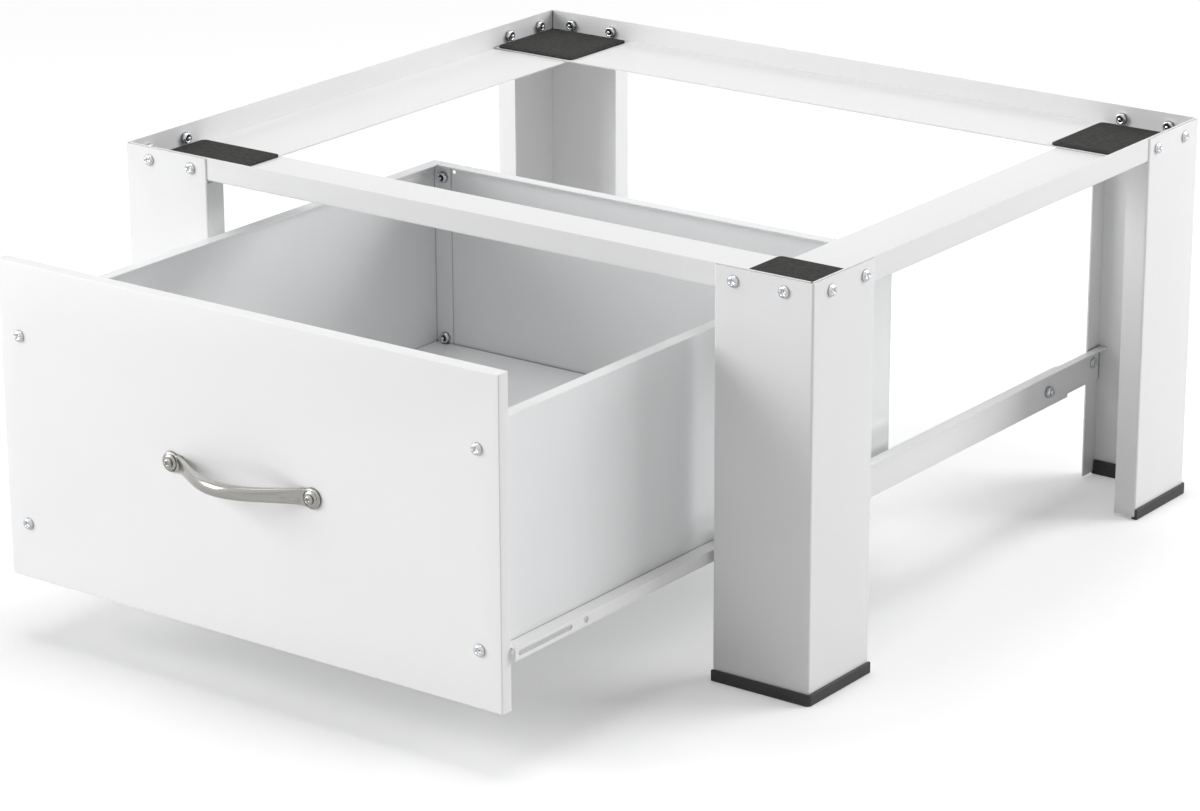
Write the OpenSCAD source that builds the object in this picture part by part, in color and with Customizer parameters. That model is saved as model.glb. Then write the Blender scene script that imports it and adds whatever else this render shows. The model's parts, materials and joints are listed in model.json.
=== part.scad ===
// Washing machine pedestal with a pull-out drawer on roller slides.
// +Z is up, the drawer opens towards -Y, and the origin is on the floor under the middle of the whole footprint.

/* [Stand] */
// Width over the legs
frame_w = 630; // [580:5:760]
// Depth over the legs
frame_d = 540; // [520:5:640]
// Height from the floor to the top of the rails
frame_h = 310; // [280:5:400]
// Thickness of the stand's sheet steel
sheet = 1.2; // [1:0.1:1.6]
// Outer radius of the stand's folds
fold_r = 2; // [1.8:0.1:3]

/* [Legs] */
// Width of a leg's front or back face
leg_face_w = 82; // [70:1:90]
// Width of a leg's side face
leg_side_w = 77.5; // [68:0.5:90]
// Depth of the return lips
leg_lip = 18.5; // [16:0.5:22]
// How far the legs end below the top of the rails
leg_drop = 0.8; // [0.4:0.1:2]
// Height of the foot strips' outer wall
strip_outer_h = 8.5; // [6:0.5:14]
// Height of the foot strips' inner wall
strip_inner_h = 12; // [8:0.5:18]
// Wall thickness of the foot strips
strip_wall = 2; // [1.5:0.1:3]

/* [Rails] */
// Height of the front and back rails
rail_h = 18; // [16:0.5:30]
// Width of the front and back ledges
ledge_long_w = 83; // [60:1:95]
// Width of the side ledges
ledge_side_w = 76.8; // [60:0.2:95]
// Margin between the rubber pads and the free edge of their ledge
pad_margin = 0.7; // [0.3:0.1:10]
// Thickness of the rubber pads
pad_t = 2; // [1.5:0.5:4]
// Corner radius of the rubber pads
pad_r = 4; // [2:0.5:8]

/* [Side bars] */
// Height of the lower side bars
bar_h = 27.5; // [22:0.5:40]
// Width of the bars' top flange
bar_flange = 8; // [5:0.5:15]
// Height of the bars' lower edge over that of the channels
bar_rise = 3.5; // [1:0.5:6]

/* [Drawer] */
// Height of the front panel's lower edge over the floor
front_rise = 51; // [35:1:80]
// Thickness of the front panel
front_t = 10; // [8:0.5:14]
// Gap between the front panel and the front rail
top_gap = 2; // [1:0.5:6]
// Gap between the front panel and a leg
leg_gap = 8; // [4:0.5:14]
// Thickness of the drawer's sheet steel
skin = 1; // [0.8:0.1:1.2]
// Space for the slide between the drawer's side and the leg lips
slide_space = 16; // [15.5:0.1:20]
// Space between the back of the closed drawer and that of the stand
back_space = 53.4; // [45:0.2:80]
// Height of the sides' lower edge over the panel's lower edge
box_rise = 35.7; // [30:0.1:50]
// How far the sides end below the panel's top edge
box_drop = 35.3; // [20:0.1:70]
// Width of the hem along the top of the drawer
hem_w = 10; // [7:0.5:14]
// Width of the flanges in the drawer's corners
flange_w = 17.5; // [16:0.5:24]
// Height of the drawer's floor over the sides' lower edge
floor_rise = 16.6; // [14:0.2:30]
// How far the drawer is pulled out at rest
pull_out = 232.6; // [150:0.1:320]

/* [Slides] */
// Thickness of the slides' steel
slide_t = 1.2; // [1:0.1:1.4]
// Furthest travel of the drawer from closed
travel = 342.6; // [250:0.1:370]
// Radius of the rollers
roller_r = 10; // [9:0.5:11]
// Thickness of the rollers
roller_t = 6.5; // [5:0.5:6.5]
// Radius of the roller axles
axle_r = 2; // [1.5:0.1:2.2]
// Width of the drawer members over their track
track_w = 11.5; // [11:0.1:12]
// Height of the drawer members
track_h = 9.3; // [8.8:0.1:10]
// Depth of the channels' flanges
channel_d = 11.6; // [10.5:0.1:12]
// Length of the channels behind the closed place of the rear rollers
channel_tail = 28.4; // [20:0.2:35]
// Place of the front rollers behind the stand's front
front_roller_y = 34; // [33:0.5:45]

/* [Handle] */
// Distance between the handle's screws
handle_span = 128; // [96:1:160]
// How far the handle stands off the panel
handle_reach = 29.5; // [22:0.5:45]
// Height of the grip
grip_h = 12; // [8:0.5:15]
// Thickness of the grip
grip_t = 7; // [5:0.5:10]
// Radius of the handle's feet
foot_r = 7.5; // [7:0.5:11]
// Thickness of the handle's feet
foot_t = 2.5; // [2:0.1:4]

/* [Fasteners] */
// Diameter of the bolts and screws
bolt_d = 5; // [4:0.5:6]
// Diameter of the pan heads
head_d = 9; // [8:0.5:11]
// Height of the pan heads
head_h = 2.6; // [2:0.1:3.5]
// Width of the nuts across their flats
nut_w = 8; // [7:0.5:9]
// Height of the nuts
nut_h = 4; // [3:0.1:5]
// Diameter of the handle's screws and of those in the slides
small_d = 4; // [3:0.5:4.5]
// Diameter of the small screws' heads
small_head_d = 7; // [6:0.5:8]

/* [Hidden] */
$fn = 48;

// One overrun serves all cuts, and one gap the pieces that run past each other
cut = 1;
gap = 0.3;
// Radial play of a screw in its hole, of a thread in its nut and of a roller on its axle
hole_play = 0.25;
axle_play = 0.05;
// How far a screw's end stands out of its nut or sheet
tip = 1.5;

// Stand: the walls of the rails lie against the inside of the legs
wall_in = 2 * sheet;
leg_top = frame_h - leg_drop;
long_rail_z = frame_h - rail_h;
side_rail_z = long_rail_z - sheet;
notch_z = side_rail_z - leg_drop;
rail_inset = sheet + fold_r;
pad_inset = rail_inset + 1.5 * sheet;
pad_size = sheet + ledge_long_w - pad_margin - pad_inset;
pad_top = long_rail_z + sheet + pad_t;
pad_step = pad_t * 0.2;
nut_gap = 0.5;
// The pads' raised field starts past the ends of the leg screws
pad_rim = wall_in + nut_h + tip + gap - pad_inset;
leg_screw_z = pad_top + nut_gap + nut_w / 2;
face_screw_shares = [0.293, 0.805];
side_screw_shares = [0.284, 0.832];

// Drawer in its closed place: the panel's face is level with the legs' faces
lip_x = frame_w / 2 - leg_face_w;
front_x = lip_x - leg_gap;
front_z = front_rise;
front_top = long_rail_z - top_gap;
box_x = lip_x - slide_space;
box_l = frame_d - back_space;
box_z = front_z + box_rise;
box_top = front_top - box_drop;
floor_z = box_z + floor_rise;
skirt_h = floor_rise - 1.5 * skin;
panel_lip = front_x - box_x + flange_w - 3 * skin;
corner_screw_x = box_x - flange_w * 0.6;
front_screws_z = [box_z + floor_rise * 0.4, box_top - nut_w * 2.4];
back_screws_z = [floor_z + nut_w * 0.6, box_top - nut_w * 1.5];
small_hole_r = 1.5;
handle_z = (front_z + front_top) / 2;

// Slides: the track of the drawer member rides on the front roller, and the rear roller runs in the channel
side_play = 0.7;
flat_head_h = 0.8;
axle_edge = 0.8;
axle_head_r = axle_r * 1.6;
axle_head_h = 0.9;
collar_r = axle_r * 1.6;
recess_play = 0.3;
web_x = lip_x + sheet;
channel_x = web_x - channel_d;
channel_web_x = web_x - slide_t;
track_top = box_z + track_h;
track_wall_z = box_z + gap;
runner_start = front_t + gap;
runner_end = box_l - 5 * slide_t;
front_roller_x = box_x + slide_t + side_play;
front_roller_z = track_top - slide_t - gap - roller_r;
rear_roller_x = channel_web_x - flat_head_h - side_play - roller_t;
rear_roller_y = box_l - 2.3 * roller_r;
rear_roller_z = box_z + axle_r + axle_edge;
track_end = rear_roller_y - 1.2 * roller_r;
channel_y = leg_lip + 3 * sheet;
channel_end = rear_roller_y + channel_tail;
channel_z = rear_roller_z - roller_r - gap - slide_t;
channel_h = 2 * (roller_r + slide_t) + 5 * gap;
channel_floor_y = front_roller_y + 1.3 * roller_r;
channel_bolt_shares = [0.123, 0.928];
channel_bolt_z = rear_roller_z + 2 * slide_t;
stop_h = 3;
stop_reach = sqrt(pow(roller_r, 2) - pow(roller_r + gap - stop_h, 2)) + gap;
front_stop_y = rear_roller_y - travel - stop_reach - slide_t;
rear_stop_y = rear_roller_y + stop_reach;
bar_z = channel_z + bar_rise;
bar_screw_y = leg_lip * 0.6;
bar_screw_z = bar_z + bar_h * 0.57;
slot_r = 2;
slot_z = track_top - slide_t - 1.5 * slot_r;
slot_start = front_t + 3 * slide_t;
slot_l = 60;
track_hole_r = 2.6;
track_hole_y = slot_start + slot_l + 6 * track_hole_r;
runner_screw_shares = [0.12, 0.5, 0.88];

// Handle and small screws
washer_r = 6;
washer_t = 1.2;
small_head_h = small_head_d * 0.35;
small_nut_w = small_d * 1.75;
small_nut_h = small_d * 0.8;
bow_power = 1.2;
bow_steps = 36;

// The part is centred on its footprint with the drawer pulled out
front_y = (pull_out + handle_reach - frame_d - max(strip_wall, head_h)) / 2;
mid_y = front_y + frame_d / 2;

// A place in a channel's or a runner's length
function channel_at(share) = channel_y + (channel_end - channel_y) * share;
function runner_at(share) = runner_start + (runner_end - runner_start) * share;

// Section of a folded sheet: outer corner at the origin, arms along +X and +Y
module fold_2d(arm_x, arm_y, t, r) {
    translate([r, 0]) square([arm_x - r, t]);
    translate([0, r]) square([t, arm_y - r]);
    intersection() {
        translate([r, r]) difference() {
            circle(r);
            if (r > t) circle(r - t);
        }
        square(r);
    }
}

// Round bars along X and Y, for holes and pins
module bar_x(x1, x2, y, z, r) {
    translate([x1, y, z]) rotate([0, 90, 0]) cylinder(h = x2 - x1, r = r);
}
module bar_y(x, y1, y2, z, r) {
    translate([x, y1, z]) rotate([-90, 0, 0]) cylinder(h = y2 - y1, r = r);
}

// Cross-recess pan head on z = 0, with its shank below
module pan_screw(d, length, wide, high) {
    dome_h = high * 0.6;
    dome_r = (pow(wide / 2, 2) + pow(dome_h, 2)) / (2 * dome_h);
    recess_l = wide * 0.5;
    recess_w = wide * 0.13;
    difference() {
        intersection() {
            cylinder(h = high, d = wide);
            translate([0, 0, high - dome_r]) sphere(dome_r, $fn = 64);
        }
        for (a = [0, 90]) rotate([0, 0, a])
            translate([-recess_l / 2, -recess_w / 2, high * 0.45]) cube([recess_l, recess_w, high]);
    }
    translate([0, 0, -length]) cylinder(h = length, d = d);
}

// Hexagon nut that stands on z = 0
module nut(d, wide, high) {
    difference() {
        cylinder(h = high, r = wide / sqrt(3), $fn = 6);
        translate([0, 0, -cut]) cylinder(h = high + 2 * cut, r = d / 2 + axle_play);
    }
}

// Mirrored places: both sides, and from the front of the stand to its back
module left_too() {
    children();
    mirror([1, 0, 0]) children();
}
module at_back() {
    translate([0, 2 * mid_y, 0]) mirror([0, 1, 0]) children();
}
module back_too() {
    children();
    at_back() children();
}

// Places a piece modelled with the front left leg's corner at the origin
module at_corner(right, back) {
    translate([0, mid_y, 0]) mirror([right, 0, 0]) mirror([0, back, 0])
        translate([-frame_w / 2, -frame_d / 2, 0]) children();
}

// Turns a screw so that its head points to the front or to the left
module to_front() {
    rotate([90, 0, 0]) children();
}
module to_left() {
    rotate([90, 0, -90]) children();
}
module to_right() {
    rotate([90, 0, 90]) children();
}

// Legs, foot strips and pads, each at the front left corner

module leg_2d() {
    fold_2d(leg_face_w / 2, leg_side_w / 2, sheet, fold_r);
    translate([leg_face_w, 0]) mirror([1, 0]) fold_2d(leg_face_w / 2, leg_lip, sheet, fold_r);
    translate([0, leg_side_w]) mirror([0, 1]) fold_2d(leg_lip, leg_side_w / 2, sheet, fold_r);
}

// The lips are cut away at the top, where the ledges pass
module leg() {
    bore = bolt_d / 2 + hole_play;
    color("whitesmoke") difference() {
        translate([0, 0, strip_wall]) linear_extrude(leg_top - strip_wall) leg_2d();
        translate([leg_face_w - fold_r - cut, sheet, notch_z])
            cube([fold_r + 2 * cut, leg_lip, frame_h - notch_z]);
        translate([sheet, leg_side_w - fold_r - cut, notch_z])
            cube([leg_lip, fold_r + 2 * cut, frame_h - notch_z]);
        for (s = face_screw_shares) bar_y(leg_face_w * s, -cut, sheet + cut, leg_screw_z, bore);
        for (s = side_screw_shares) bar_x(-cut, sheet + cut, leg_side_w * s, leg_screw_z, bore);
        bar_x(leg_face_w - sheet - cut, leg_face_w + cut, bar_screw_y, bar_screw_z, bolt_d / 2 + axle_play);
    }
}

// A plastic channel pushed on the leg's lower edge
module foot_strip() {
    band = 2 * strip_wall + sheet;
    inner_w = leg_face_w - fold_r - gap - sheet;
    inner_d = leg_side_w - fold_r - gap - sheet;
    color("black") union() {
        translate([-strip_wall, -strip_wall, 0]) {
            linear_extrude(strip_wall)
                fold_2d(leg_face_w + strip_wall, leg_side_w + strip_wall, band, fold_r + strip_wall);
            linear_extrude(strip_outer_h)
                fold_2d(leg_face_w + strip_wall, leg_side_w + strip_wall, strip_wall, fold_r + strip_wall);
        }
        translate([sheet, sheet, 0]) linear_extrude(strip_inner_h)
            fold_2d(inner_w, inner_d, strip_wall, strip_wall);
    }
}

// Outline of a pad, a margin m inside its edge and with corners of radius r
module pad_2d(m, r) {
    low = m + r;
    high = pad_size - m - r;
    translate([low, m]) square([high - low, pad_size - 2 * m]);
    translate([m, low]) square([pad_size - 2 * m, high - low]);
    for (x = [low, high], y = [low, high]) translate([x, y]) circle(r);
}

module pad() {
    color("dimgray") translate([pad_inset, pad_inset, pad_top - pad_t]) {
        linear_extrude(pad_t - pad_step) pad_2d(0, pad_r);
        linear_extrude(pad_t) pad_2d(pad_rim, pad_r / 2);
    }
}

// Top rails: the wall stands on the outer edge of the ledge

// Front rail, which fits between the folds of the side rails
module long_rail() {
    long = frame_w - 2 * rail_inset;
    color("white") difference() {
        translate([-long / 2, front_y + sheet, long_rail_z])
            rotate([90, 0, 90]) linear_extrude(long) fold_2d(ledge_long_w, rail_h, sheet, fold_r);
        left_too() for (s = face_screw_shares)
            bar_y(frame_w / 2 - leg_face_w * s, front_y, front_y + wall_in + cut, leg_screw_z,
                bolt_d / 2 + hole_play);
    }
}

// Left rail, whose ledge lies under those of the front and back rails
module side_rail() {
    long = frame_d - 2 * fold_r;
    color("white") difference() {
        translate([-frame_w / 2 + sheet, mid_y + long / 2, side_rail_z])
            rotate([90, 0, 0]) linear_extrude(long)
                fold_2d(ledge_side_w, frame_h - side_rail_z, sheet, fold_r);
        back_too() for (s = side_screw_shares)
            bar_x(-frame_w / 2, -frame_w / 2 + wall_in + cut, front_y + leg_side_w * s, leg_screw_z,
                bolt_d / 2 + hole_play);
    }
}

// Lower side bar on the right: its web lies on the leg lips and its top flange points outwards
module side_bar() {
    long = frame_d - 2 * fold_r;
    bore = bolt_d / 2 + hole_play;
    color("whitesmoke") difference() {
        translate([web_x, mid_y + long / 2, bar_z + bar_h])
            rotate([90, 0, 0]) linear_extrude(long) mirror([0, 1]) fold_2d(bar_flange, bar_h, sheet, fold_r);
        back_too() bar_x(web_x - cut, web_x + sheet + cut, front_y + bar_screw_y, bar_screw_z, bore);
        for (s = channel_bolt_shares)
            bar_x(web_x - cut, web_x + sheet + cut, front_y + channel_at(s), channel_bolt_z, bore);
    }
}

// Channel on the right, open towards the drawer, with a stop lug near each end of its lower flange
module channel() {
    color("white") translate([0, front_y, 0]) difference() {
        union() {
            translate([channel_web_x, channel_y, channel_z]) cube([slide_t, channel_end - channel_y, channel_h]);
            translate([channel_x, channel_y, channel_z + channel_h - slide_t])
                cube([channel_d, channel_end - channel_y, slide_t]);
            translate([channel_x, channel_floor_y, channel_z])
                cube([channel_d, channel_end - channel_floor_y, slide_t]);
            for (y = [front_stop_y, rear_stop_y])
                translate([channel_x, y, channel_z]) cube([channel_d - slide_t, slide_t, slide_t + stop_h]);
        }
        for (s = channel_bolt_shares)
            bar_x(channel_web_x - cut, web_x + cut, channel_at(s), channel_bolt_z, bolt_d / 2 + hole_play);
        bar_x(channel_web_x - cut, web_x + cut, front_roller_y, front_roller_z, axle_r + axle_play);
    }
}

// Fasteners of the stand

module at_leg_screws() {
    for (right = [0, 1], back = [0, 1]) at_corner(right, back) {
        for (s = face_screw_shares) translate([leg_face_w * s, 0, leg_screw_z]) to_front() children();
        for (s = side_screw_shares) translate([0, leg_side_w * s, leg_screw_z]) to_left() children();
    }
}

module leg_screws() {
    color("silver") at_leg_screws() pan_screw(bolt_d, wall_in + nut_h + tip, head_d, head_h);
}

module leg_nuts() {
    color("silver") at_leg_screws() translate([0, 0, -wall_in - nut_h]) nut(bolt_d, nut_w, nut_h);
}

module side_bar_screws() {
    color("silver") left_too() back_too()
        translate([web_x + sheet, front_y + bar_screw_y, bar_screw_z])
            to_right() pan_screw(bolt_d, wall_in + tip, head_d, head_h);
}

// The heads lie flat in the channel, under the rear roller's side
module channel_bolts() {
    color("silver") left_too() for (s = channel_bolt_shares)
        translate([0, front_y + channel_at(s), 0]) {
            bar_x(channel_web_x - flat_head_h, channel_web_x, 0, channel_bolt_z, head_d / 2);
            bar_x(channel_web_x, web_x + sheet + nut_h + tip, 0, channel_bolt_z, bolt_d / 2);
        }
}

module channel_nuts() {
    color("silver") left_too() for (s = channel_bolt_shares)
        translate([web_x + sheet, front_y + channel_at(s), channel_bolt_z]) to_right() nut(bolt_d, nut_w, nut_h);
}

// Rollers and their axles, on the right

// A roller on the X axis between two places, with a recess for the axle's head at the place called head_x
module roller(x, head_x) {
    deep = axle_head_h + recess_play;
    difference() {
        bar_x(x, x + roller_t, 0, 0, roller_r);
        bar_x(x - cut, x + roller_t + cut, 0, 0, axle_r + axle_play);
        bar_x(head_x - deep, head_x + deep, 0, 0, axle_head_r + recess_play);
    }
}

module front_roller() {
    color("ivory") translate([0, front_y + front_roller_y, front_roller_z])
        roller(front_roller_x, front_roller_x);
}

module rear_roller() {
    color("ivory") drawer_place() translate([0, rear_roller_y, rear_roller_z])
        roller(rear_roller_x, rear_roller_x + roller_t);
}

// The collar stands on the channel's web, clear of the track that passes above the axle
module front_roller_axles() {
    color("silver") left_too() translate([0, front_y, 0]) {
        bar_x(front_roller_x, front_roller_x + axle_head_h, front_roller_y, front_roller_z, axle_head_r);
        bar_x(front_roller_x, web_x, front_roller_y, front_roller_z, axle_r);
        bar_x(channel_web_x - slide_t, channel_web_x, front_roller_y, front_roller_z, collar_r);
    }
}

module rear_roller_axles() {
    head_x = rear_roller_x + roller_t;
    color("silver") left_too() drawer_place() {
        bar_x(head_x - axle_head_h, head_x, rear_roller_y, rear_roller_z, axle_head_r);
        bar_x(box_x, head_x, rear_roller_y, rear_roller_z, axle_r);
        bar_x(box_x + slide_t, rear_roller_x - gap, rear_roller_y, rear_roller_z, collar_r);
    }
}

// Drawer, modelled closed and then pulled out

module drawer_place() {
    translate([0, front_y - pull_out, 0]) children();
}

// A folded pan: its face, four returns and a lip behind them
module drawer_front() {
    wide = 2 * front_x;
    high = front_top - front_z;
    color("whitesmoke") drawer_place() difference() {
        translate([-front_x, 0, front_z]) cube([wide, front_t, high]);
        translate([-front_x + skin, skin, front_z + skin])
            cube([wide - 2 * skin, front_t - 2 * skin, high - 2 * skin]);
        translate([-front_x + panel_lip, front_t - skin - cut, front_z + panel_lip])
            cube([wide - 2 * panel_lip, skin + 2 * cut, high - 2 * panel_lip]);
        left_too() {
            for (z = front_screws_z) bar_y(corner_screw_x, -cut, front_t + cut, z, bolt_d / 2 + hole_play);
            bar_y(handle_span / 2, -cut, skin + cut, handle_z, small_d / 2 + hole_play);
        }
    }
}

// Right side: web, top hem and corner flanges are one folded sheet
module drawer_side() {
    long = box_l - skin - front_t;
    bore = bolt_d / 2 + hole_play;
    color("white") drawer_place() difference() {
        union() {
            translate([box_x - skin, front_t, box_z]) cube([skin, long, box_top - box_z]);
            translate([box_x - hem_w, front_t, box_top - skin]) cube([hem_w, long + skin, skin]);
            for (y = [front_t, box_l - 2 * skin])
                translate([box_x - flange_w, y, box_z]) cube([flange_w, skin, box_top - skin - box_z]);
        }
        for (z = front_screws_z) bar_y(corner_screw_x, front_t - cut, front_t + skin + cut, z, bore);
        for (z = back_screws_z) bar_y(corner_screw_x, box_l - 2 * skin - cut, box_l - skin, z, bore);
        for (s = runner_screw_shares)
            bar_x(box_x - skin - cut, box_x + cut, runner_at(s), slot_z, small_d / 2 + hole_play);
    }
}

// The hem lies between the hems of the sides
module drawer_back() {
    color("white") drawer_place() difference() {
        union() {
            translate([-box_x, box_l - skin, box_z]) cube([2 * box_x, skin, box_top - skin - box_z]);
            translate([-box_x + hem_w + gap, box_l - hem_w, box_top - skin])
                cube([2 * (box_x - hem_w - gap), hem_w, skin]);
        }
        left_too() {
            for (z = back_screws_z)
                bar_y(corner_screw_x, box_l - skin - cut, box_l + cut, z, bolt_d / 2 + hole_play);
            bar_y(box_x - flange_w - 2 * small_hole_r, box_l - skin - cut, box_l + cut,
                box_top - hem_w / 2 - small_hole_r, small_hole_r);
        }
    }
}

// The floor is a shallow tray upside down: its skirts stand between the flanges of the sides
module drawer_floor() {
    half = box_x - skin;
    start = front_t + skin;
    long = box_l - 2 * skin - start;
    color("whitesmoke") drawer_place() difference() {
        translate([-half, start, floor_z - skirt_h]) cube([2 * half, long, skirt_h]);
        translate([-half + skin, start + skin, floor_z - skirt_h - cut])
            cube([2 * (half - skin), long - 2 * skin, skirt_h + cut - skin]);
        left_too() {
            bar_y(corner_screw_x, start - cut, start + skin + cut, front_screws_z[0], bolt_d / 2 + hole_play);
            for (s = runner_screw_shares)
                bar_x(half - skin - cut, half + cut, runner_at(s), slot_z, small_d / 2 + hole_play);
        }
    }
}

// Right drawer member: a web on the drawer's side, the track, and an outer wall with a slot and a hole
module runner() {
    wall_x = box_x + track_w - slide_t;
    color("white") drawer_place() difference() {
        union() {
            translate([box_x, runner_start, box_z]) cube([slide_t, runner_end - runner_start, track_h]);
            translate([box_x, runner_start, track_top - slide_t])
                cube([track_w, track_end - runner_start, slide_t]);
            translate([wall_x, runner_start, track_wall_z])
                cube([slide_t, track_end - runner_start, track_top - track_wall_z]);
        }
        for (y = [slot_start + slot_r, slot_start + slot_l - slot_r])
            bar_x(wall_x - cut, wall_x + slide_t + cut, y, slot_z, slot_r);
        translate([wall_x - cut, slot_start + slot_r, slot_z - slot_r])
            cube([slide_t + 2 * cut, slot_l - 2 * slot_r, 2 * slot_r]);
        bar_x(wall_x - cut, wall_x + slide_t + cut, track_hole_y, slot_z, track_hole_r);
        bar_x(box_x - cut, box_x + slide_t + cut, rear_roller_y, rear_roller_z, axle_r + axle_play);
        for (s = runner_screw_shares)
            bar_x(box_x - cut, box_x + slide_t + cut, runner_at(s), slot_z, small_d / 2 + axle_play);
    }
}

// Screws from inside the drawer, under its floor, through skirt, side and runner
module runner_screws() {
    color("silver") left_too() drawer_place() for (s = runner_screw_shares)
        translate([box_x - 2 * skin, runner_at(s), slot_z])
            to_left() pan_screw(small_d, 2 * skin + slide_t, small_head_d, small_head_h);
}

module front_panel_screws() {
    long = front_t + 2 * skin + nut_h + tip;
    color("silver") left_too() drawer_place() for (z = front_screws_z)
        translate([corner_screw_x, 0, z]) to_front() pan_screw(bolt_d, long, head_d, head_h);
}

// The lower nuts also hold the floor's skirt
module front_panel_nuts() {
    color("silver") left_too() drawer_place() for (i = [0, 1])
        translate([corner_screw_x, front_t + skin + (i == 0 ? skin : 0) + nut_h, front_screws_z[i]])
            to_front() nut(bolt_d, nut_w, nut_h);
}

module drawer_back_screws() {
    long = 2 * skin + nut_h + tip;
    color("silver") left_too() drawer_place() for (z = back_screws_z)
        translate([corner_screw_x, box_l, z]) rotate([0, 0, 180]) to_front()
            pan_screw(bolt_d, long, head_d, head_h);
}

module drawer_back_nuts() {
    color("silver") left_too() drawer_place() for (z = back_screws_z)
        translate([corner_screw_x, box_l - 2 * skin, z]) to_front() nut(bolt_d, nut_w, nut_h);
}

// Handle

// Outer and inner curve of the bow, as seen from above, at a share of its length between the washers
function bow_out(s) = foot_t + (handle_reach - foot_t) * pow(sin(180 * s), bow_power);
function bow_in(s) = bow_out(s) - foot_t - (grip_t - foot_t) * sin(180 * s);

module bow_2d() {
    half = handle_span / 2 - washer_r - gap;
    foot_end = handle_span / 2 + foot_r;
    steps = [for (i = [0 : bow_steps]) i / bow_steps];
    outer = [for (s = steps) [(2 * s - 1) * half, -bow_out(s)]];
    inner = [for (s = steps) [(1 - 2 * s) * half, -bow_in(1 - s)]];
    polygon(concat([[-foot_end, 0], [-foot_end, -foot_t]], outer, [[foot_end, -foot_t], [foot_end, 0]], inner));
}

module handle() {
    color("silver") drawer_place() translate([0, 0, handle_z]) difference() {
        intersection() {
            translate([0, 0, -foot_r]) linear_extrude(2 * foot_r) bow_2d();
            rotate([90, 0, 0]) linear_extrude(handle_reach) {
                square([handle_span, grip_h], center = true);
                for (side = [-1, 1]) translate([side * handle_span / 2, 0]) circle(foot_r);
            }
        }
        left_too() bar_y(handle_span / 2, -foot_t - cut, cut, 0, small_d / 2 + hole_play);
    }
}

// Dished washers: thin at their rim, thick round the screw
module handle_washers() {
    color("silver") left_too() drawer_place() translate([handle_span / 2, -foot_t, handle_z]) to_front()
        difference() {
            cylinder(h = washer_t, r1 = washer_r, r2 = washer_r * 0.8);
            translate([0, 0, -cut]) cylinder(h = washer_t + 2 * cut, r = small_d / 2 + axle_play);
        }
}

module handle_screws() {
    long = washer_t + foot_t + skin + small_nut_h + tip / 2;
    color("silver") left_too() drawer_place() translate([handle_span / 2, -foot_t - washer_t, handle_z])
        to_front() pan_screw(small_d, long, small_head_d, small_head_h);
}

module handle_nuts() {
    color("silver") left_too() drawer_place() translate([handle_span / 2, skin + small_nut_h, handle_z])
        to_front() nut(small_d, small_nut_w, small_nut_h);
}

at_corner(0, 0) leg();  // front_left_leg
at_corner(1, 0) leg();  // front_right_leg
at_corner(0, 1) leg();  // back_left_leg
at_corner(1, 1) leg();  // back_right_leg
at_corner(0, 0) foot_strip();  // front_left_foot_strip
at_corner(1, 0) foot_strip();  // front_right_foot_strip
at_corner(0, 1) foot_strip();  // back_left_foot_strip
at_corner(1, 1) foot_strip();  // back_right_foot_strip
at_corner(0, 0) pad();  // front_left_pad
at_corner(1, 0) pad();  // front_right_pad
at_corner(0, 1) pad();  // back_left_pad
at_corner(1, 1) pad();  // back_right_pad
long_rail();  // front_rail
at_back() long_rail();  // back_rail
side_rail();  // left_rail
mirror([1, 0, 0]) side_rail();  // right_rail
mirror([1, 0, 0]) side_bar();  // left_side_bar
side_bar();  // right_side_bar
mirror([1, 0, 0]) channel();  // left_channel
channel();  // right_channel
leg_screws();
leg_nuts();
side_bar_screws();
channel_bolts();
channel_nuts();
front_roller_axles();
drawer_front();
mirror([1, 0, 0]) drawer_side();  // drawer_left_side
drawer_side();  // drawer_right_side
drawer_back();
drawer_floor();
mirror([1, 0, 0]) runner();  // left_runner
runner();  // right_runner
handle();
handle_washers();
handle_screws();
handle_nuts();
front_panel_screws();
front_panel_nuts();
drawer_back_screws();
drawer_back_nuts();
runner_screws();
rear_roller_axles();
mirror([1, 0, 0]) front_roller();  // left_front_roller
front_roller();  // right_front_roller
mirror([1, 0, 0]) rear_roller();  // left_rear_roller
rear_roller();  // right_rear_roller
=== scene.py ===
# Washing machine stand with its drawer pulled out: camera, light, finishes and detailed pieces.
import json
from functools import partial
from math import cos, pi, radians, sin, sqrt, tan

import bmesh
import bpy
from mathutils import Matrix, Vector


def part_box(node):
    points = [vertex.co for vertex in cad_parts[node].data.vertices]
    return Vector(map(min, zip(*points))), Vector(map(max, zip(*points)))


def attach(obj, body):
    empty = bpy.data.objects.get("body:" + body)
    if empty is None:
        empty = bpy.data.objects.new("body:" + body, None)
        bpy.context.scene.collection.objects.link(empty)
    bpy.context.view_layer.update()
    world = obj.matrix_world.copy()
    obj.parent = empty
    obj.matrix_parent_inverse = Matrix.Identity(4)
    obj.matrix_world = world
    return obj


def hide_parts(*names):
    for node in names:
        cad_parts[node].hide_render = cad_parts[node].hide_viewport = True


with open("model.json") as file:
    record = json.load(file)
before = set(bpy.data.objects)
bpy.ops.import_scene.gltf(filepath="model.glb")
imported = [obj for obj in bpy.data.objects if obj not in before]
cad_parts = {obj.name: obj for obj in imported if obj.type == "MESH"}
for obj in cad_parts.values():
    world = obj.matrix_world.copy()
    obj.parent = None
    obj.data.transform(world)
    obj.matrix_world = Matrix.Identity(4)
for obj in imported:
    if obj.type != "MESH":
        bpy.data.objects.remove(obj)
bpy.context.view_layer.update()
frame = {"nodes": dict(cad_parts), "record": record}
nodes = frame["nodes"]
record = frame["record"]
scene = bpy.context.scene
bodyOf = {node: body for body, names in record["behaviour"]["bodies"].items() for node in names}
slotOf = {part["node"]: part["material_slot"] for part in record["subparts"]}
print("frame: %d nodes" % len(nodes))


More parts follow.
